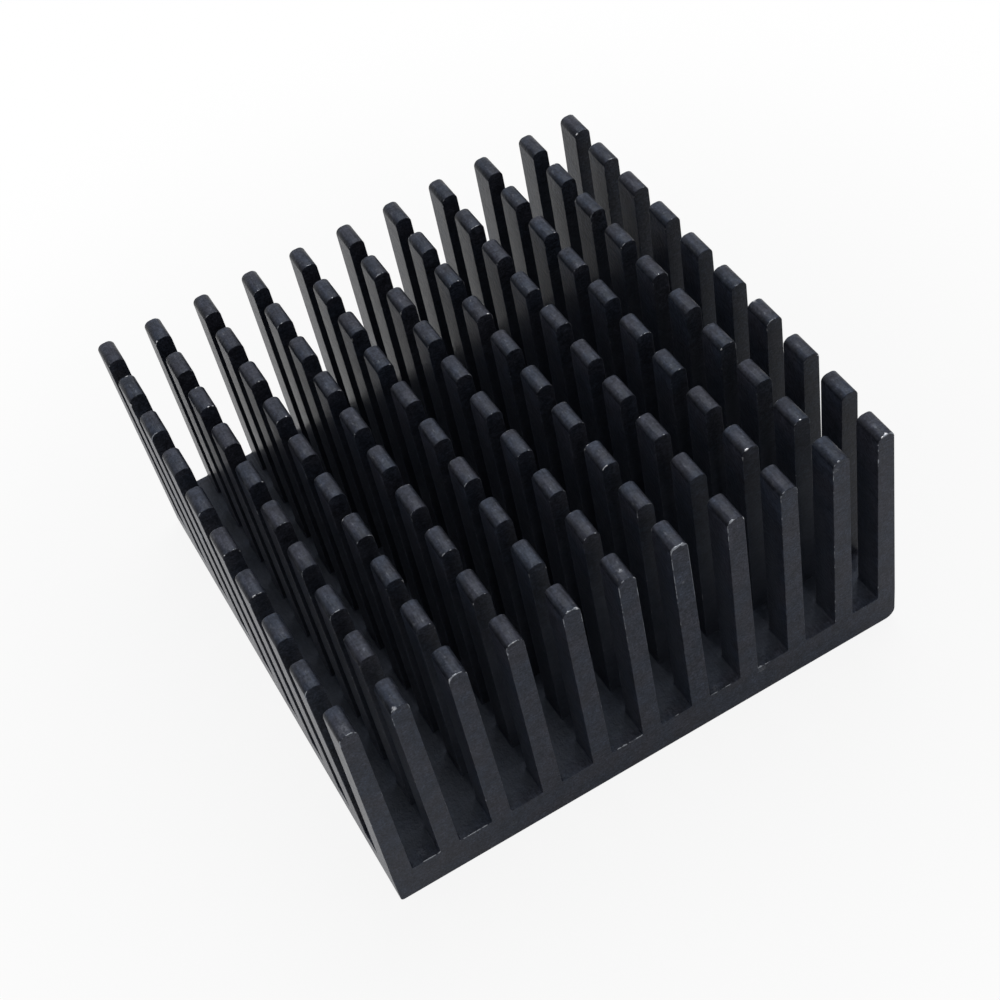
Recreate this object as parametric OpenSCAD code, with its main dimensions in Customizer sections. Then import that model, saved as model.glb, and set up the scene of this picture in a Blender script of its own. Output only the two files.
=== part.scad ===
// Pin fin heat sink: one piece of extruded aluminium, cross-cut into a field of pins.
//
// The bar is extruded along Y as a flat base with upright fins, so the drafts, the
// rounded crowns and the long edges all belong to one profile in the XZ plane. Saws
// then cut across the fins, down to the floor of the grooves, and leave the pins.
// A few pins of the front row have been knocked and lean a little.
// Millimetres. The origin is the centre of the underside, with +Z towards the crowns.

/* [Overall] */
// Width across the fins, over the two outer faces
sink_w = 40; // [36:0.5:48]
// Length along the fins, over the two sawn ends
sink_l = 40; // [36:0.5:60]
// Height from the underside to the crowns
sink_h = 20; // [12:0.5:30]

/* [Base plate] */
// Thickness of the plate, up to the floor of the grooves
base_t = 3; // [2:0.1:5]
// Radius along the lower left long edge
left_edge_r = 0.25; // [0.1:0.05:1.5]
// Radius along the lower right long edge
right_edge_r = 0.8; // [0.1:0.05:1.5]

/* [Fins] */
// Number of fins across the width
fin_n = 11; // [7:1:12]
// Thickness of a fin at its root
fin_root_t = 1.46; // [1.3:0.02:1.7]
// Thickness that the drafted sides reach at full height
fin_tip_t = 1.25; // [1.1:0.01:1.3]
// Gap at the root between an end fin and its neighbour
end_gap = 2.13; // [1.5:0.01:2.6]
// Radius of the shoulders of each crown
crown_r = 0.5; // [0.2:0.02:0.54]
// Radius in the lower corners of each groove
root_r = 0.15; // [0.05:0.05:0.4]

/* [Saw cuts] */
// Number of pins along each fin
pin_n = 10; // [6:1:11]
// Width of each cut across the fins
slot_w = 1.9; // [1.2:0.05:2.2]

/* [Knocked pins] */
// How far the crowns of the two front corner pins lean inwards
corner_lean = 0.3; // [0:0.05:0.6]
// How far the crown of one middle pin in the front row leans back
middle_lean = 0.3; // [0:0.05:0.6]

/* [Hidden] */
$fn = 48;

fin_h = sink_h - base_t;
taper = fin_root_t - fin_tip_t;
shoulder_z = sink_h - crown_r;
root_top = base_t + root_r;

// Fins 2 to fin_n - 1 are evenly spaced between the two end fins.
first_x = -sink_w / 2;
last_x = sink_w / 2 - fin_root_t;
second_x = first_x + fin_root_t + end_gap;
pitch = -2 * (second_x + fin_root_t / 2) / (fin_n - 3);

// The pins of one fin share its length with the cuts between them.
pin_l = (sink_l - (pin_n - 1) * slot_w) / pin_n;
front_y = -sink_l / 2;

// The middle pin that was knocked stands fifth from the right.
middle_fin = fin_n - 4;

// Solids that join reach this far into each other, and cutters this far past.
weld = 0.2;

// Left root face of fin i, counted from 1 at the left.
function fin_x(i) =
  i == 1 ? first_x :
  i == fin_n ? last_x :
  second_x + (i - 2) * pitch;

// The outer faces of the two end fins have no root fillet.
function is_outer_left(i) = i == 1;
function is_outer_right(i) = i == fin_n;

// An end fin has an upright outer face, so all of its taper is on the inner one.
function left_draft(i) = is_outer_left(i) ? 0 : is_outer_right(i) ? taper : taper / 2;
function right_draft(i) = taper - left_draft(i);

// How far a face with this draft has leaned in at height z. It is kept to a whole
// micron, so that the faces and the arcs of the profile meet exactly.
function inset(draft, z) = round(1000 * draft * (z - base_t) / fin_h) / 1000;

// Fillet in the corner between the groove floor and a face, with the fin on its left.
// The face rises from x = 0 at the top of the fillet.
module root_fillet() {
  difference() {
    translate([-weld, base_t - weld]) square([root_r + weld, root_r + weld]);
    translate([root_r, root_top]) circle(r = root_r);
  }
}

// Section of one fin. lean moves the crown to the right, with the root in place.
module fin(i, lean = 0) {
  left = left_draft(i) + lean;
  right = right_draft(i) - lean;
  left_foot_z = is_outer_left(i) ? base_t : root_top;
  right_foot_z = is_outer_right(i) ? base_t : root_top;
  left_foot_x = inset(left, left_foot_z);
  right_foot_x = fin_root_t - inset(right, right_foot_z);
  left_top_x = inset(left, shoulder_z);
  right_top_x = fin_root_t - inset(right, shoulder_z);
  translate([fin_x(i), 0]) {
    polygon([
      [left_foot_x, base_t - weld],
      [right_foot_x, base_t - weld],
      [right_foot_x, right_foot_z],
      [right_top_x, shoulder_z],
      [right_top_x - crown_r, sink_h],
      [left_top_x + crown_r, sink_h],
      [left_top_x, shoulder_z],
      [left_foot_x, left_foot_z]
    ]);
    translate([left_top_x + crown_r, shoulder_z]) circle(r = crown_r);
    translate([right_top_x - crown_r, shoulder_z]) circle(r = crown_r);
    if (!is_outer_right(i)) translate([right_foot_x, 0]) root_fillet();
    if (!is_outer_left(i)) translate([left_foot_x, 0]) mirror([1, 0]) root_fillet();
  }
}

// Section of the base plate, with its two long lower edges rounded.
module plate() {
  left_centre = [first_x + left_edge_r, left_edge_r];
  right_centre = [first_x + sink_w - right_edge_r, right_edge_r];
  difference() {
    translate([first_x, 0]) square([sink_w, base_t]);
    translate([first_x, 0]) square(left_edge_r);
    translate([right_centre.x, 0]) square(right_edge_r);
  }
  translate(left_centre) circle(r = left_edge_r);
  translate(right_centre) circle(r = right_edge_r);
}

// The profile that leaves the die.
module profile() {
  plate();
  for (i = [1:fin_n]) fin(i);
}

// Gives a section in the XZ plane a length along Y, from y towards the back.
module along_y(y, length) {
  translate([0, y + length, 0])
    rotate([90, 0, 0])
      linear_extrude(length) children();
}

// One cut across all the fins, behind pin row j.
module saw_cut(j) {
  translate([first_x - weld, front_y + j * pin_l + (j - 1) * slot_w, base_t])
    cube([sink_w + 2 * weld, slot_w, fin_h + weld]);
}

// Space of one upright pin of the front row, with its fillets.
module front_pin_space(i) {
  translate([fin_x(i) - end_gap / 2, front_y - weld, base_t])
    cube([fin_root_t + end_gap, pin_l + slot_w / 2 + weld, fin_h + weld]);
}

// A front pin that was knocked: its crown has moved by lean_x and lean_y.
module knocked_pin(i, lean_x, lean_y) {
  lean_at_top = lean_y * (fin_h + weld) / fin_h;
  intersection() {
    along_y(front_y - weld, pin_l + lean_at_top + 2 * weld) fin(i, lean_x);
    translate([fin_x(i) - end_gap / 2, front_y, base_t])
      rotate([90, 0, 90])
        linear_extrude(fin_root_t + end_gap)
          polygon([
            [0, -weld],
            [pin_l, -weld],
            [pin_l, 0],
            [pin_l + lean_at_top, fin_h + weld],
            [lean_at_top, fin_h + weld],
            [0, 0]
          ]);
  }
}

module heat_sink() {
  color([0.2, 0.2, 0.22]) {
    difference() {
      along_y(front_y, sink_l) profile();
      for (j = [1:pin_n - 1]) saw_cut(j);
      for (i = [1, middle_fin, fin_n]) front_pin_space(i);
    }
    knocked_pin(1, corner_lean, 0);
    knocked_pin(middle_fin, 0, middle_lean);
    knocked_pin(fin_n, -corner_lean, 0);
  }
}

heat_sink();
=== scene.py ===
import math

import bpy
from mathutils import Euler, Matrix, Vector


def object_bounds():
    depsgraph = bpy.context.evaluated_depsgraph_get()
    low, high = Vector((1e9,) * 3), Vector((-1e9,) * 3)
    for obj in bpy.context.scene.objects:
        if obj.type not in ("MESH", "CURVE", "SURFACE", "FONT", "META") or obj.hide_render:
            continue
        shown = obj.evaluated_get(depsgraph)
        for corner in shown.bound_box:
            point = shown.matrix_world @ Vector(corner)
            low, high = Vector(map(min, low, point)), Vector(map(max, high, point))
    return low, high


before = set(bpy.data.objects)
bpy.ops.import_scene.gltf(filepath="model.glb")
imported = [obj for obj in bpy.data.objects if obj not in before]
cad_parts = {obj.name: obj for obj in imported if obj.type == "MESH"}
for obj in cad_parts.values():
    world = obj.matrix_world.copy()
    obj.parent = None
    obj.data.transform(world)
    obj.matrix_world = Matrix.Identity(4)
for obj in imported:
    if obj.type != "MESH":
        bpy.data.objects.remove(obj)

# Black anodised pin fin heat sink on a plain pale floor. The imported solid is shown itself,
# with its sawn edges eased and a procedural material. Lengths are metres unless a name
# ends in _MM: the material's patterns are laid out in millimetres.

MM = 0.001
cad_low, cad_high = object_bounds()
centre = (cad_low + cad_high) / 2
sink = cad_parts["heat_sink"]

# ---------------------------------------------------------------- camera

CAMERA_FROM_CENTRE = Vector((-26.28, -79.25, 96.10)) * MM
CAMERA_TURN = (39.448, 8.998, -29.171)
CAMERA_LENS = 64.34
CAMERA_SENSOR = 36
CAMERA_CLIP = (0.005, 10)


def make_camera():
    data = bpy.data.cameras.new("camera")
    data.lens = CAMERA_LENS
    data.sensor_width = CAMERA_SENSOR
    data.clip_start, data.clip_end = CAMERA_CLIP
    camera = bpy.data.objects.new("camera", data)
    camera.location = centre + CAMERA_FROM_CENTRE
    camera.rotation_euler = Euler([math.radians(a) for a in CAMERA_TURN])
    bpy.context.scene.collection.objects.link(camera)
    bpy.context.scene.camera = camera


# ---------------------------------------------------------------- node helpers


class Graph:
    """Short ways to add shader nodes to one tree and to link them."""

    def __init__(self, tree):
        self.tree = tree
        tree.nodes.clear()

    def add(self, kind, inputs=(), **settings):
        node = self.tree.nodes.new("ShaderNode" + kind)
        for name, value in settings.items():
            setattr(node, name, value)
        for key, value in dict(inputs).items():
            self.put(node.inputs[key], value)
        return node

    def put(self, socket, value):
        if isinstance(value, bpy.types.NodeSocket):
            self.tree.links.new(value, socket)
        else:
            socket.default_value = value

    def math(self, operation, a, b=0.0):
        return self.add("Math", {0: a, 1: b}, operation=operation).outputs[0]

    def plus(self, a, b):
        return self.math("ADD", a, b)

    def minus(self, a, b):
        return self.math("SUBTRACT", a, b)

    def times(self, a, b):
        return self.math("MULTIPLY", a, b)

    def ratio(self, a, b):
        return self.math("DIVIDE", a, b)

    def absolute(self, value):
        return self.math("ABSOLUTE", value)

    def at_least(self, a, b):
        return self.math("MAXIMUM", a, b)

    def at_most(self, a, b):
        return self.math("MINIMUM", a, b)

    def less(self, a, b):
        return self.math("LESS_THAN", a, b)

    def more(self, a, b):
        return self.math("GREATER_THAN", a, b)

    def hypot(self, a, b):
        return self.math("SQRT", self.plus(self.times(a, a), self.times(b, b)))

    def clamped(self, value):
        return self.at_least(self.at_most(value, 1.0), 0.0)

    def wrap(self, value, low, high):
        """Repeats the stretch from low to high, as a pattern with that pitch."""
        return self.add("Math", {0: value, 1: high, 2: low}, operation="WRAP").outputs[0]

    def scaled(self, vector, factors):
        return self.add(
            "VectorMath", {0: vector, 1: factors}, operation="MULTIPLY"
        ).outputs[0]

    def dimmed(self, colour, factor):
        return self.add(
            "VectorMath", {0: colour, "Scale": factor}, operation="SCALE"
        ).outputs[0]

    def millimetres(self):
        """Object coordinates in millimetres."""
        return self.scaled(self.add("TexCoord").outputs["Object"], (1 / MM,) * 3)

    def seen_in_gloss(self):
        """1 for glossy and transmission rays, which show what surrounds the object."""
        rays = self.add("LightPath").outputs
        return self.at_least(rays["Is Glossy Ray"], rays["Is Transmission Ray"])

    def seen_directly(self):
        """1 for camera rays."""
        return self.add("LightPath").outputs["Is Camera Ray"]

    def split(self, vector):
        return self.add("SeparateXYZ", {0: vector}).outputs

    def smooth(self, value, low, high, to_low=0.0, to_high=1.0):
        """A soft step from to_low to to_high, while value goes from low to high."""
        return self.add(
            "MapRange",
            {"Value": value, 1: low, 2: high, 3: to_low, 4: to_high},
            interpolation_type="SMOOTHSTEP",
        ).outputs[0]

    def noise(self, vector, scale, detail, roughness):
        return self.add(
            "TexNoise",
            {"Vector": vector, "Scale": scale, "Detail": detail, "Roughness": roughness},
        ).outputs["Fac"]

    def drawn_noise(self, vector, scales, detail, roughness):
        """Noise that is finer along some axes than along others."""
        return self.noise(self.scaled(vector, scales), 1.0, detail, roughness)

    def distance(self, a, b):
        return self.add("VectorMath", {0: a, 1: b}, operation="DISTANCE").outputs["Value"]

    def mix(self, factor, a, b):
        return self.add(
            "Mix", {"Factor": factor, "A": a, "B": b}, data_type="FLOAT"
        ).outputs[0]

    def mix_colour(self, factor, a, b):
        # Its colour sockets come after those for floats and vectors.
        return self.add(
            "Mix", {0: factor, 6: a, 7: b}, data_type="RGBA"
        ).outputs[2]


def rgb(red, green, blue):
    return (red, green, blue, 1.0)


# ---------------------------------------------------------------- the heat sink

EDGE_EASE = 0.045 * MM
EDGE_SEGMENTS = 2
SHARP_ANGLE = math.radians(60)
FLAT_ANGLE = math.radians(0.5)
JOIN_DISTANCE = 0.001 * MM

# The part's own sizes, in millimetres, which the wear on its edges follows.
HALF_WIDTH_MM = (cad_high.x - cad_low.x) / 2 / MM
HALF_LENGTH_MM = (cad_high.y - cad_low.y) / 2 / MM
TOP_MM = cad_high.z / MM
PLATE_MM = 3.0
FINS = 11
FIN_ROOT_MM = 1.46
FIN_TAPER_MM = 0.21
END_GAP_MM = 2.13
CROWN_RADIUS_MM = 0.5
PINS = 10
CUT_MM = 1.9
CORNER_LEAN_MM = 0.3
MIDDLE_LEAN_MM = 0.3
MIDDLE_FIN = FINS - 4

SECOND_FIN_MM = -HALF_WIDTH_MM + 1.5 * FIN_ROOT_MM + END_GAP_MM
FIN_PITCH_MM = -2 * SECOND_FIN_MM / (FINS - 3)
END_FIN_MM = HALF_WIDTH_MM - FIN_ROOT_MM / 2
PIN_MM = (2 * HALF_LENGTH_MM - (PINS - 1) * CUT_MM) / PINS
ROW_PITCH_MM = PIN_MM + CUT_MM
FRONT_MM = -HALF_LENGTH_MM

# Points this close to the floor of the grooves count as on it.
SLACK_MM = 0.01

DYE = rgb(0.0275, 0.0335, 0.0495)
DYE_WARM = rgb(0.0325, 0.0345, 0.0470)
DUST = rgb(0.062, 0.071, 0.092)
BARE = rgb(0.18, 0.19, 0.21)
BARE_SPOT = rgb(0.48, 0.48, 0.50)
SPECULAR_TINT = rgb(0.86, 0.93, 1.0)
SPECULAR_LEVEL = 0.10
DRAWN_ROUGHNESS = 0.35
SAWN_ROUGHNESS = 0.40
BARE_ROUGHNESS = 0.42

# Noise patterns: features a millimetre, detail and roughness.
GRAIN = (7.0, 3.0, 0.65)
RELIEF = (3.8, 1.0, 0.5)
MOTTLE = (3.2, 3.0, 0.6)
CHIPS = (2.2, 1.0, 0.5)
WEAR = (1.3, 4.0, 0.62)
BLOTCHES = (0.9, 3.0, 0.6)
TINTS = (0.35, 3.0, 0.55)

# Drawn-out patterns: features a millimetre along each axis, then detail and roughness.
STREAKS = ((6.0, 0.35, 6.0), 3.0, 0.6)
SAW_MARKS = ((0.8, 1.0, 9.0), 3.0, 0.6)
RUBBING = ((3.5, 1.6, 3.5), 3.0, 0.6)

# How much of a face's normal lies along Y: on a sawn face, and, times how much lies across
# it, on an eased edge.
SAWN_RANGE = (0.90, 0.99)
EASED_RANGE = (0.12, 0.30)

# How a pattern is read: as it goes from the first value to the second, it gives from the
# third to the fourth, or from 0 to 1 where there are only two.
WARM_RANGE = (0.36, 0.64)
DRAWN_SPECKLE = (0.25, 0.75, 0.75, 1.3)
SAWN_SPECKLE = (0.25, 0.75, 0.4, 1.7)
LAY_RANGE = (0.30, 0.70, 0.82, 1.22)
MOTTLE_RANGE = (0.30, 0.70, 0.75, 1.25)
BLOTCH_RANGE = (0.30, 0.70, 0.78, 1.20)
DUST_RANGE = (0.25, 0.75, 0.7, 1.2)
GLOSS_RANGE = (0.7, 1.3, -0.05, 0.05)
RUBBED_RANGE = (0.58, 0.75)
CHIPPED_RANGE = (0.63, 0.74)
SCUFF_GRAIN_RANGE = (0.35, 0.60)

# Widths of the bare bands along the edges, in millimetres. The listed rims vary along
# their length by RIM_RANGE. The grain moves the edge of every band by up to half of
# RAGGED_MM, and BAND_RANGE_MM is how that edge fades.
WORN_RANGE = (0.60, 0.80, 0.0, 0.10)
CHIPPED_MM = 0.12
RIM_RANGE = (0.38, 0.62, 0.25, 1.6)
RAGGED_MM = 0.10
BAND_RANGE_MM = (0.010, 0.035)

# Relief of the surface, in millimetres.
GRAIN_RELIEF_MM = 0.014
LAY_RELIEF_MM = 0.006
DRAWN_RELIEF_MM = 0.030
SAWN_RELIEF_MM = 0.012

# Shares: of the dye's brightness taken off as painted shade on the crowns' shoulders and on
# the saw cuts, of dust, and of bare metal.
SHOULDER_PAINTED_SHADE = 0.55
# Painted shade on the sawn faces between the pins, away from the ends.
CUT_PAINTED_SHADE = 0.40
FIN_DUST = 0.55
FLOOR_DUST = 0.6
RUBBED = 0.25
CHIP_SHINE = 0.8

# What the wear pattern gains at the crowns and in the front row.
CROWN_WEAR = 0.07
FRONT_WEAR = 0.03

# Depths below the crowns, in millimetres: where each effect is nil, and where it is whole.
# The crowns' shoulders take their painted shade between the first two pairs of depths.
SHOULDER_PAINTED_SHADE_STARTS_MM = (0.0, 0.18)
SHOULDER_PAINTED_SHADE_ENDS_MM = (0.6, 0.3)
RUBBED_DEPTHS_MM = (0.3, 0.05)
CHIPPED_DEPTHS_MM = (1.1, 0.5)
WORN_DEPTHS_MM = (1.5, 0.5)
DUST_DEPTHS_MM = (1.0, 8.0)

# Distances in from the sawn ends and from the outer faces, likewise.
END_FADE_MM = (0.2, 1.5)
SIDE_FADE_MM = (0.3, 2.0)

# How far behind the front end its extra wear has faded.
FRONT_FADE_MM = PIN_MM + 1.0

# Stretches of the front row's outlines where the edge has lost its dye: fin, place across
# it with its sides at -1 and 1, depth below the crown, radius of the stretch and width of
# the band. The last ones lie beside a fin, on the plate's front edge. A stretch is whole
# up to RIM_CORE of its radius.
RIM_CORE = 0.6
RIMS = (
    (1, 0.4, 0.10, 0.45, 0.04),
    (2, -0.55, 0.15, 0.28, 0.13),
    (2, -1.0, 1.20, 0.50, 0.05),
    (3, -0.6, 0.20, 0.85, 0.06),
    (4, -1.0, 0.55, 0.45, 0.08),
    (4, 0.0, 0.00, 0.60, 0.03),
    (5, -1.0, 0.75, 0.55, 0.05),
    (5, 0.2, 0.00, 0.55, 0.08),
    (5, 1.0, 1.20, 0.50, 0.06),
    (6, -1.0, 0.90, 0.60, 0.05),
    (6, 1.0, 1.70, 0.50, 0.06),
    (6, 0.0, 4.00, 4.50, 0.015),
    (7, -0.2, 0.05, 0.75, 0.12),
    (7, 0.0, 3.00, 3.20, 0.035),
    (8, -0.3, 0.05, 0.35, 0.08),
    (8, -1.0, 1.20, 0.90, 0.03),
    (9, -0.9, 0.60, 0.90, 0.015),
    (10, -0.2, 0.00, 0.20, 0.08),
    (10, -1.0, 1.20, 0.60, 0.04),
    (11, 0.0, 0.05, 0.22, 0.12),
    (11, -1.0, 2.30, 0.50, 0.07),
    (1, 3.2, 17.00, 0.80, 0.05),
    (2, 3.0, 17.00, 1.30, 0.05),
    (5, 3.4, 17.00, 1.20, 0.06),
    (7, 2.6, 17.00, 1.00, 0.05),
    (8, 1.8, 17.00, 0.60, 0.07),
)

# Scuffs and small scratches away from the edges: fin, place across it, depth below the
# crown, distance behind the front end, radius, and how bare the middle is. The middle
# reaches up to SCUFF_CORE of the radius.
SCUFF_CORE = 0.3
SCUFFS = (
    (1, -0.2, 0.00, 0.50, 0.60, 0.16),
    (2, -0.45, 0.05, 0.10, 0.18, 0.90),
    (5, 0.7, 0.10, 0.50, 0.15, 0.35),
    (6, 0.1, 0.00, 0.80, 0.25, 0.35),
    (7, -0.1, 3.60, 0.05, 0.22, 0.50),
    (10, -0.7, 0.75, 0.00, 0.35, 0.30),
    (11, 0.1, 0.00, 0.15, 0.14, 0.90),
    (1, 2.6, 17.00, 0.70, 0.45, 0.14),
    (5, 1.9, 16.60, 0.60, 0.30, 0.16),
    (8, 1.6, 17.40, 0.00, 0.45, 0.30),
    (7, 2.2, 17.15, 0.00, 0.40, 0.22),
    (10, -1.0, 18.20, 0.00, 0.30, 0.16),
    (3, 1.0, 18.60, 0.00, 0.40, 0.12),
)


def fin_centre(fin):
    """Where fin stands across the sink at its root, counted from 1 at the left."""
    if fin in (1, FINS):
        return -END_FIN_MM if fin == 1 else END_FIN_MM
    return SECOND_FIN_MM + (fin - 2) * FIN_PITCH_MM


def pin_place(fin, across, depth, behind=0.0):
    """A point of a front pin, in millimetres, leans included."""
    lean = {1: CORNER_LEAN_MM, FINS: -CORNER_LEAN_MM}.get(fin, 0.0)
    drift = {1: -1, FINS: 1}.get(fin, 0) * FIN_TAPER_MM / 2
    back = MIDDLE_LEAN_MM if fin == MIDDLE_FIN else 0.0
    half_tip = (FIN_ROOT_MM - FIN_TAPER_MM) / 2
    return (
        fin_centre(fin) + lean + drift + across * half_tip,
        FRONT_MM + back + behind,
        TOP_MM - depth,
    )


def edge_distance(g, mm, sawn):
    """How far a point of the surface is from the nearest sawn edge, in millimetres."""
    x, y, z = g.split(mm)
    rise = g.clamped(g.ratio(g.minus(z, PLATE_MM), TOP_MM - PLATE_MM))
    front_row = g.less(y, FRONT_MM + PIN_MM + CUT_MM / 2)

    # Across the fin: the distance from its middle plane, end fins apart.
    side = g.absolute(x)
    end_lean = g.times(front_row, CORNER_LEAN_MM)
    end_middle = g.plus(
        END_FIN_MM, g.times(rise, g.minus(FIN_TAPER_MM / 2, end_lean))
    )
    from_end = g.absolute(g.minus(side, end_middle))
    from_grid = g.absolute(
        g.wrap(g.minus(x, SECOND_FIN_MM), -FIN_PITCH_MM / 2, FIN_PITCH_MM / 2)
    )
    is_end = g.more(side, HALF_WIDTH_MM - FIN_ROOT_MM - END_GAP_MM / 2)
    from_middle = g.mix(is_end, from_grid, from_end)
    half = g.minus(FIN_ROOT_MM / 2, g.times(rise, FIN_TAPER_MM / 2))

    # On a sawn face, to the outline of the fin with its rounded crown, or to the floor.
    past_flat = g.at_least(
        g.plus(g.minus(from_middle, half), CROWN_RADIUS_MM), 0.0
    )
    past_shoulder = g.at_least(g.minus(z, TOP_MM - CROWN_RADIUS_MM), 0.0)
    to_outline = g.minus(CROWN_RADIUS_MM, g.hypot(past_flat, past_shoulder))
    to_floor = g.hypot(
        g.minus(PLATE_MM, z), g.at_least(g.minus(half, from_middle), 0.0)
    )
    in_plate = g.less(z, PLATE_MM + SLACK_MM)
    on_sawn = g.mix(in_plate, to_outline, to_floor)

    # On a face from the die, to the sawn end of the pin or of the plate.
    is_middle = g.less(g.absolute(g.minus(x, fin_centre(MIDDLE_FIN))), FIN_PITCH_MM / 2)
    lean = g.times(g.times(front_row, is_middle), g.times(rise, MIDDLE_LEAN_MM))
    along = g.wrap(g.minus(g.minus(y, FRONT_MM), lean), 0.0, ROW_PITCH_MM)
    to_pin_end = g.at_most(along, g.minus(PIN_MM, along))
    to_plate_end = g.minus(HALF_LENGTH_MM, g.absolute(y))
    on_drawn = g.mix(in_plate, to_pin_end, to_plate_end)
    return g.at_least(g.mix(sawn, on_drawn, on_sawn), 0.0)


def dyed(g, mm, sawn, depth, lay, grain):
    """The dye in its two tints, with its marks, painted shade on the crowns' shoulders and
    saw cuts, and the dust on it.
    """
    x, y, z = g.split(mm)
    tints = g.noise(mm, *TINTS)
    colour = g.mix_colour(g.smooth(tints, *WARM_RANGE), DYE, DYE_WARM)
    shade = g.mix(sawn, g.smooth(grain, *DRAWN_SPECKLE), g.smooth(grain, *SAWN_SPECKLE))
    shade = g.times(shade, g.smooth(lay, *LAY_RANGE))
    shade = g.times(shade, g.smooth(g.noise(mm, *MOTTLE), *MOTTLE_RANGE))
    shade = g.times(shade, g.smooth(g.noise(mm, *BLOTCHES), *BLOTCH_RANGE))

    # Painted shade: the dye is darkened on the crowns' shoulders, which leaves their tops
    # lighter, and on the sawn faces between the pins, away from the ends.
    between = g.smooth(g.minus(HALF_LENGTH_MM, g.absolute(y)), *END_FADE_MM)
    shoulder_painted_shade = g.times(
        g.smooth(depth, *SHOULDER_PAINTED_SHADE_ENDS_MM), g.smooth(depth, *SHOULDER_PAINTED_SHADE_STARTS_MM)
    )
    painted_shade = g.mix(sawn, g.times(shoulder_painted_shade, SHOULDER_PAINTED_SHADE), g.times(between, CUT_PAINTED_SHADE))
    colour = g.dimmed(colour, g.times(shade, g.minus(1.0, painted_shade)))

    # Dust that has settled in the grooves, away from the crowns and the outer faces.
    inside = g.times(
        g.smooth(g.minus(HALF_WIDTH_MM, g.absolute(x)), *SIDE_FADE_MM), between
    )
    settled = g.mix(
        g.less(z, PLATE_MM + SLACK_MM),
        g.smooth(depth, *DUST_DEPTHS_MM, 0.0, FIN_DUST),
        FLOOR_DUST,
    )
    above_plate = g.smooth(z, PLATE_MM - 2 * SLACK_MM, PLATE_MM)
    dust = g.times(g.times(inside, settled), above_plate)
    return g.mix_colour(g.times(dust, g.smooth(tints, *DUST_RANGE)), colour, DUST)


def bared(g, mm, distance, depth, grain):
    """Where the dye is gone, from 0 to 1, and the colour of the metal there."""
    y = g.split(mm)[1]
    front = g.smooth(y, FRONT_MM, FRONT_MM + FRONT_FADE_MM, 1.0, 0.0)
    worn = g.plus(
        g.noise(mm, *WEAR),
        g.plus(g.smooth(depth, *WORN_DEPTHS_MM, 0.0, CROWN_WEAR), g.times(front, FRONT_WEAR)),
    )
    chips = g.noise(mm, *CHIPS)
    chipped = g.times(g.smooth(chips, *CHIPPED_RANGE), g.smooth(depth, *CHIPPED_DEPTHS_MM))

    # How far the bare band reaches from the edge here.
    reach = g.at_least(g.smooth(worn, *WORN_RANGE), g.times(chipped, CHIPPED_MM))
    uneven = g.smooth(chips, *RIM_RANGE)
    for fin, place, below, radius, width in RIMS:
        away = g.distance(mm, pin_place(fin, place, below))
        band = g.smooth(away, RIM_CORE * radius, radius, width, 0.0)
        reach = g.at_least(reach, g.times(band, uneven))
    ragged = g.times(g.minus(grain, 0.5), RAGGED_MM)
    band = g.smooth(g.plus(g.minus(reach, distance), ragged), *BAND_RANGE_MM)

    scuffed = 0.0
    for fin, place, below, behind, radius, middle in SCUFFS:
        away = g.distance(mm, pin_place(fin, place, below, behind))
        scuff = g.smooth(away, SCUFF_CORE * radius, radius, middle, 0.0)
        scuff = g.times(scuff, g.smooth(grain, *SCUFF_GRAIN_RANGE))
        scuffed = g.at_least(scuff, scuffed)

    rubbed = g.smooth(g.drawn_noise(mm, *RUBBING), *RUBBED_RANGE)
    rubbed = g.times(g.times(rubbed, g.smooth(depth, *RUBBED_DEPTHS_MM)), RUBBED)
    spot = g.at_least(g.times(chipped, CHIP_SHINE), scuffed)
    metal = g.mix_colour(spot, BARE, BARE_SPOT)
    return g.at_least(g.at_least(band, scuffed), rubbed), metal


def anodised():
    material = bpy.data.materials.new("black_anodised")
    material.use_nodes = True
    g = Graph(material.node_tree)
    mm = g.millimetres()
    depth = g.minus(TOP_MM, g.split(mm)[2])

    # The sawn faces look along Y and the drawn ones across it. An eased edge looks between
    # the two, and all of it counts as the edge itself.
    along = g.absolute(g.split(g.add("NewGeometry").outputs["True Normal"])[1])
    sawn = g.smooth(along, *SAWN_RANGE)
    across = g.math("SQRT", g.minus(1.0, g.times(along, along)))
    eased = g.smooth(g.times(along, across), *EASED_RANGE)
    distance = g.times(edge_distance(g, mm, sawn), g.minus(1.0, eased))

    # Fine grain all over, streaks along the extrusion and saw marks across it.
    grain = g.noise(mm, *GRAIN)
    lay = g.mix(sawn, g.drawn_noise(mm, *STREAKS), g.drawn_noise(mm, *SAW_MARKS))

    bare, metal = bared(g, mm, distance, depth, grain)
    gloss = g.smooth(g.plus(grain, lay), *GLOSS_RANGE)
    dye_roughness = g.plus(g.mix(sawn, DRAWN_ROUGHNESS, SAWN_ROUGHNESS), gloss)
    relief = g.times(g.noise(mm, *RELIEF), g.mix(sawn, DRAWN_RELIEF_MM, SAWN_RELIEF_MM))
    height = g.plus(
        g.plus(g.times(grain, GRAIN_RELIEF_MM), g.times(lay, LAY_RELIEF_MM)), relief
    )
    bump = g.add("Bump", {"Strength": 1.0, "Distance": MM, "Height": height})
    surface = g.add(
        "BsdfPrincipled",
        {
            "Base Color": g.mix_colour(bare, dyed(g, mm, sawn, depth, lay, grain), metal),
            "Metallic": bare,
            "Roughness": g.mix(bare, dye_roughness, BARE_ROUGHNESS),
            "Specular IOR Level": SPECULAR_LEVEL,
            "Specular Tint": SPECULAR_TINT,
            "Normal": bump.outputs[0],
        },
    )
    g.add("OutputMaterial", {"Surface": surface.outputs[0]})
    return material


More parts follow.
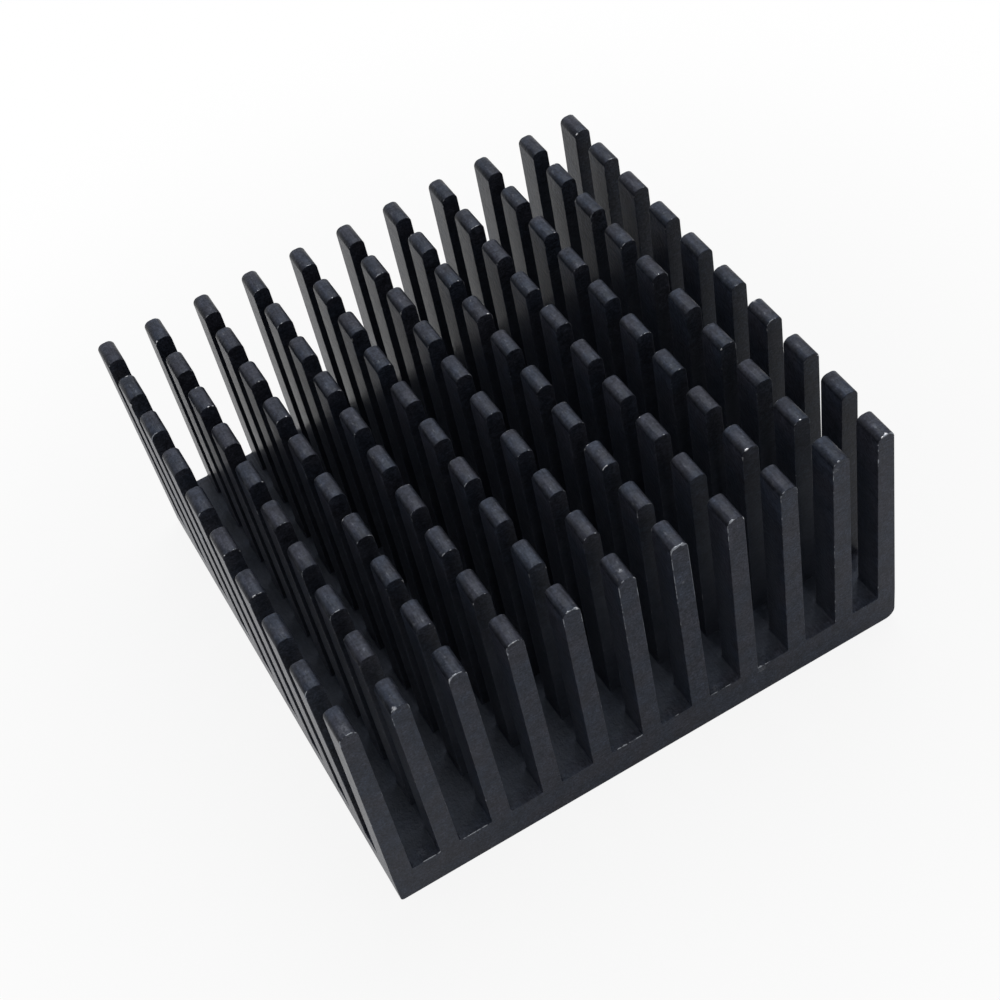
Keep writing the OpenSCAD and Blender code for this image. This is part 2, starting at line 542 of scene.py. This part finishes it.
def dress_sink():
    """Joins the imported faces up, eases the sawn edges and puts the material on."""
    for polygon in sink.data.polygons:
        polygon.use_smooth = True
    sink.data.materials.clear()
    sink.data.materials.append(anodised())
    joined = sink.modifiers.new("joined_faces", "WELD")
    joined.merge_threshold = JOIN_DISTANCE
    flat = sink.modifiers.new("flat_faces", "DECIMATE")
    flat.decimate_type = "DISSOLVE"
    flat.angle_limit = FLAT_ANGLE
    ease = sink.modifiers.new("eased_edges", "BEVEL")
    ease.width = EDGE_EASE
    ease.segments = EDGE_SEGMENTS
    ease.limit_method = "ANGLE"
    ease.angle_limit = SHARP_ANGLE
    ease.use_clamp_overlap = False
    sink.modifiers.new("face_normals", "WEIGHTED_NORMAL")


# ---------------------------------------------------------------- floor and light

FLOOR_RADIUS = 0.6
FLOOR_SIDES = 96
FLOOR_GAP = 0.02 * MM
FLOOR_PAINT = rgb(0.5, 0.5, 0.5)
WHITE = rgb(1, 1, 1)

# How white the floor is to the camera, by distance from the sink's centre, and to rays from
# its surface, by distance from the middle of its contact shadow, where the dimmed white is a
# painted shadow laid over the real one on the paint: two distances in millimetres, and the
# share at each.
CAMERA_WHITE = (25.0, 75.0, 0.90, 1.0)
GLOSSY_WHITE_AND_PAINTED_SHADOW = (12.0, 31.0, 0.38, 1.0)
PAINTED_SHADOW_MIDDLE_MM = (4.0, -11.0, 0.0)

WORLD_GLOW = 0.45
KEY_POWER = 2.5
KEY_SIZE = 0.44
KEY_FROM_CENTRE = Vector((0.17, 0.22, 0.60))


def floor_material():
    """Pale floor that glows white away from the object and shows its shadow close to it, with
    a painted shadow in what the sink reflects of it.
    """
    material = bpy.data.materials.new("pale_floor")
    material.use_nodes = True
    g = Graph(material.node_tree)
    mm = g.millimetres()
    from_centre = g.add("VectorMath", {0: mm}, operation="LENGTH").outputs["Value"]
    from_painted_shadow = g.distance(mm, PAINTED_SHADOW_MIDDLE_MM)
    glow = g.plus(
        g.times(g.seen_directly(), g.smooth(from_centre, *CAMERA_WHITE)),
        # Painted shadow: in reflections the floor's white is dimmed around the given middle
        # of its shadow.
        g.times(g.seen_in_gloss(), g.smooth(from_painted_shadow, *GLOSSY_WHITE_AND_PAINTED_SHADOW)),
    )
    paint = g.add("BsdfDiffuse", {"Color": FLOOR_PAINT})
    white = g.add("Emission", {"Color": WHITE, "Strength": 1.0})
    lit = g.add("MixShader", {0: glow, 1: paint.outputs[0], 2: white.outputs[0]})

    # From below it is clear.
    clear = g.add("BsdfTransparent")
    below = g.add("NewGeometry").outputs["Backfacing"]
    both = g.add("MixShader", {0: below, 1: lit.outputs[0], 2: clear.outputs[0]})
    g.add("OutputMaterial", {"Surface": both.outputs[0]})
    return material


def make_floor():
    bpy.ops.mesh.primitive_circle_add(
        vertices=FLOOR_SIDES,
        radius=FLOOR_RADIUS,
        fill_type="NGON",
        location=(centre.x, centre.y, cad_low.z - FLOOR_GAP),
    )
    floor = bpy.context.object
    floor.name = "floor"
    floor.data.materials.append(floor_material())


def make_world():
    """A soft glow on the object, and a plain white background to see and to reflect."""
    world = bpy.data.worlds.new("studio")
    bpy.context.scene.world = world
    world.use_nodes = True
    g = Graph(world.node_tree)
    glow = g.add("Background", {"Color": WHITE, "Strength": WORLD_GLOW})
    white = g.add("Background", {"Color": WHITE, "Strength": 1.0})
    seen = g.at_least(g.seen_directly(), g.seen_in_gloss())
    both = g.add("MixShader", {0: seen, 1: glow.outputs[0], 2: white.outputs[0]})
    g.add("OutputWorld", {"Surface": both.outputs[0]})


def make_lamp(name, offset, size, power):
    data = bpy.data.lights.new(name, "AREA")
    data.shape = "DISK"
    data.size = size
    data.energy = power
    lamp = bpy.data.objects.new(name, data)
    lamp.location = centre + offset
    lamp.rotation_euler = (-offset).to_track_quat("-Z", "Y").to_euler()
    bpy.context.scene.collection.objects.link(lamp)


make_camera()
dress_sink()
make_floor()
make_world()
make_lamp("key", KEY_FROM_CENTRE, KEY_SIZE, KEY_POWER)
bpy.context.scene.view_settings.view_transform = "Standard"
